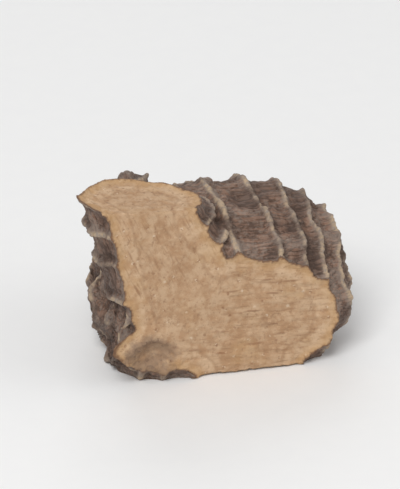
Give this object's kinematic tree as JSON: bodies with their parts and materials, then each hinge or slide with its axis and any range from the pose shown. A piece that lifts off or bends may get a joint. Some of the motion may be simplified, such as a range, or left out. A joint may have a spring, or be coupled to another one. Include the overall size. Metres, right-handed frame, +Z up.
{
  "type": "galangal root",
  "caption": "Chopped chunk of dried galangal rhizome: ringed, wrinkled brown bark with a cut-off branch, knob, bud and root stubs, and buff knife-cut faces.",
  "frame": {"origin": "bottom centre of the chunk's box, on the surface that it rests on", "axes": "+Z up from the trimmed underside, +X along the stem towards its blunt end, -Y out of the large knife-cut face"},
  "size_m": [0.0392, 0.0272, 0.0268],
  "materials": {
    "dried_root": "matt, dry and fibrous"
  },
  "bodies": {
    "root": {"galangal_root": "dried_root"}
  },
  "joints": []
}
